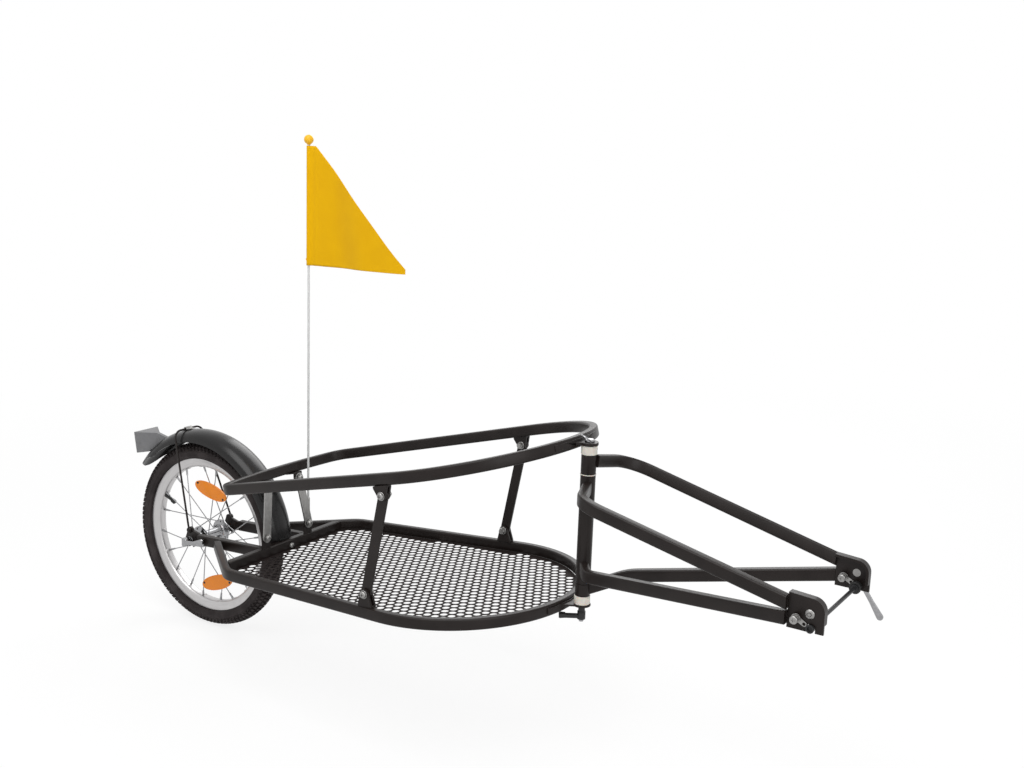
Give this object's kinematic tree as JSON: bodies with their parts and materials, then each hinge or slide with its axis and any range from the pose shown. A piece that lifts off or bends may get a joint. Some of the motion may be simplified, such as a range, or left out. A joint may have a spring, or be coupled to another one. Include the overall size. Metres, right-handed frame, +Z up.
{
  "type": "single wheel bicycle trailer",
  "caption": "Single wheel cargo trailer for a bicycle: tubular deck with upper ring, fendered spoked wheel, swivel head, forked yoke with axle hooks, and a flag on a pole.",
  "frame": {"origin": "middle of the hitch axle, where the yoke's hooks rest on the bicycle's rear axle", "axes": "+X towards the bicycle, +Z up, +Y to the left; the ground is at z = -0.354"},
  "size_m": [1.5312, 0.4426, 0.9985],
  "materials": {
    "coat": "black powder coat with a soft sheen",
    "zinc": "bright zinc plate",
    "black_steel": "black oxide, satin",
    "chrome": "polished",
    "alloy": "satin",
    "nylon": "cream nylon",
    "tyre": "black rubber",
    "fender": "black, satin",
    "dark_plastic": "black moulded",
    "grey_plastic": "grey moulded",
    "amber": "amber prismatic lens",
    "white": "white glass-fibre rod",
    "yellow_plastic": "warm yellow moulded",
    "flag": "yellow cloth"
  },
  "bodies": {
    "yoke": {"head_tube": "coat", "upper_sleeve": "coat", "lower_sleeve": "coat", "hinge_washer": "nylon", "upper_arm_right": "coat", "upper_arm_left": "coat", "lower_arm_right": "coat", "lower_arm_left": "coat", "hitch_plate_right": "coat", "hitch_plate_left": "coat", "latch_bolt_right": "zinc", "latch_bolt_left": "zinc"},
    "chassis": {"deck_rail": "coat", "rear_crossbar": "coat", "dropout_stay_right": "coat", "dropout_stay_left": "coat", "deck_sheet": "coat", "upper_ring": "coat", "side_strut_right": "coat", "side_strut_left": "coat", "strut_foot_bolt_right": "zinc", "strut_foot_bolt_left": "zinc", "strut_top_bolt_right": "zinc", "strut_top_bolt_left": "zinc", "rear_support_right": "zinc", "rear_support_left": "zinc", "support_foot_bolt_right": "zinc", "support_foot_bolt_left": "zinc", "support_top_bolt_right": "zinc", "support_top_bolt_left": "zinc", "fender": "fender", "fender_stay": "coat", "fender_clip": "zinc", "fender_bolt": "zinc", "rear_reflector": "grey_plastic", "pole_socket": "dark_plastic", "top_lug": "coat", "bottom_lug": "coat", "swivel_pin": "chrome", "top_spacer": "nylon", "bottom_spacer": "nylon", "wheel_axle": "chrome"},
    "wheel": {"tyre": "tyre", "rim": "alloy", "hub_and_spokes": "chrome", "valve": "dark_plastic", "spoke_reflector_upper": "amber", "spoke_reflector_lower": "amber"},
    "wheel_release_lever": {"wheel_release_lever": "chrome"},
    "flag_pole": {"flag_pole": "white", "pole_ferrule": "zinc", "pole_finial": "yellow_plastic", "flag": "flag"},
    "clamp_lever": {"clamp_lever": "dark_plastic"},
    "pin_bail": {"pin_bail": "chrome"},
    "latch_right": {"hitch_latch_right": "zinc"},
    "latch_left": {"hitch_latch_left": "zinc"},
    "hitch_skewer": {"hitch_skewer": "black_steel", "skewer_spacer": "dark_plastic"},
    "hitch_lever": {"hitch_lever": "chrome"}
  },
  "joints": [
    {"name": "head_swivel", "type": "hinge", "parent": "yoke", "child": "chassis", "pos_m": [-0.4309, 0, 0.036], "axis": [0, 0, 1], "range_deg": [-90, 90]},
    {"name": "wheel_spin", "type": "hinge", "parent": "chassis", "child": "wheel", "pos_m": [-1.303, 0, -0.164], "axis": [0, 1, 0], "continuous": true},
    {"name": "wheel_lever_turn", "type": "hinge", "parent": "chassis", "child": "wheel_release_lever", "pos_m": [-1.303, -0.0683, -0.164], "axis": [0, 0, -1], "range_deg": [0, 165]},
    {"name": "flag_pole_slide", "type": "slide", "parent": "chassis", "child": "flag_pole", "axis": [0, 0, 1], "range_m": [0, 0.06]},
    {"name": "clamp_lever_turn", "type": "hinge", "parent": "chassis", "child": "clamp_lever", "pos_m": [-0.4309, 0, -0.122], "axis": [0, 0, 1], "range_deg": [-90, 90]},
    {"name": "pin_bail_flip", "type": "hinge", "parent": "chassis", "child": "pin_bail", "pos_m": [-0.4309, 0, 0.1813], "axis": [-0.7431, 0.6691, 0], "range_deg": [0, 116]},
    {"name": "latch_right_swing", "type": "hinge", "parent": "yoke", "child": "latch_right", "pos_m": [-0.0219, -0.107, 0.0114], "axis": [0, -1, 0], "range_deg": [-20, 24]},
    {"name": "latch_left_swing", "type": "hinge", "parent": "yoke", "child": "latch_left", "pos_m": [-0.0219, 0.101, 0.0114], "axis": [0, -1, 0], "range_deg": [-20, 75]},
    {"name": "hitch_pitch", "type": "hinge", "parent": "yoke", "child": "hitch_skewer", "pos_m": [0, 0, 0], "axis": [0, 1, 0], "range_deg": [-20, 20]},
    {"name": "hitch_lever_turn", "type": "hinge", "parent": "hitch_skewer", "child": "hitch_lever", "pos_m": [0, 0.1208, 0], "axis": [0.848, 0, 0.5299], "range_deg": [0, 150]}
  ]
}
